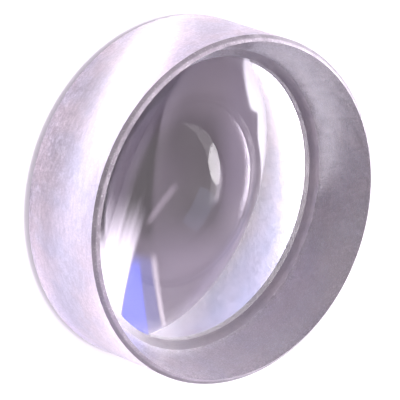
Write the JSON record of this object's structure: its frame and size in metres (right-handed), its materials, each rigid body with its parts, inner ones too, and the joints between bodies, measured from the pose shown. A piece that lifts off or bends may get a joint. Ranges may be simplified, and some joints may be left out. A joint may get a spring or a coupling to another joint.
{
  "type": "biconcave lens",
  "caption": "Thick round biconcave glass lens: both faces hollow and polished, edge and rim bevels ground.",
  "frame": {"origin": "centre of the lower face's rim, the circle that the lens lies on", "axes": "+Z along the optical axis, out of the upper face; X and Y are free, because the lens is round"},
  "size_m": [0.05, 0.05, 0.0165],
  "materials": {
    "glass": "clear crown glass, both faces polished, edge and bevels fine ground"
  },
  "bodies": {
    "root": {"lens": "glass"}
  },
  "joints": []
}
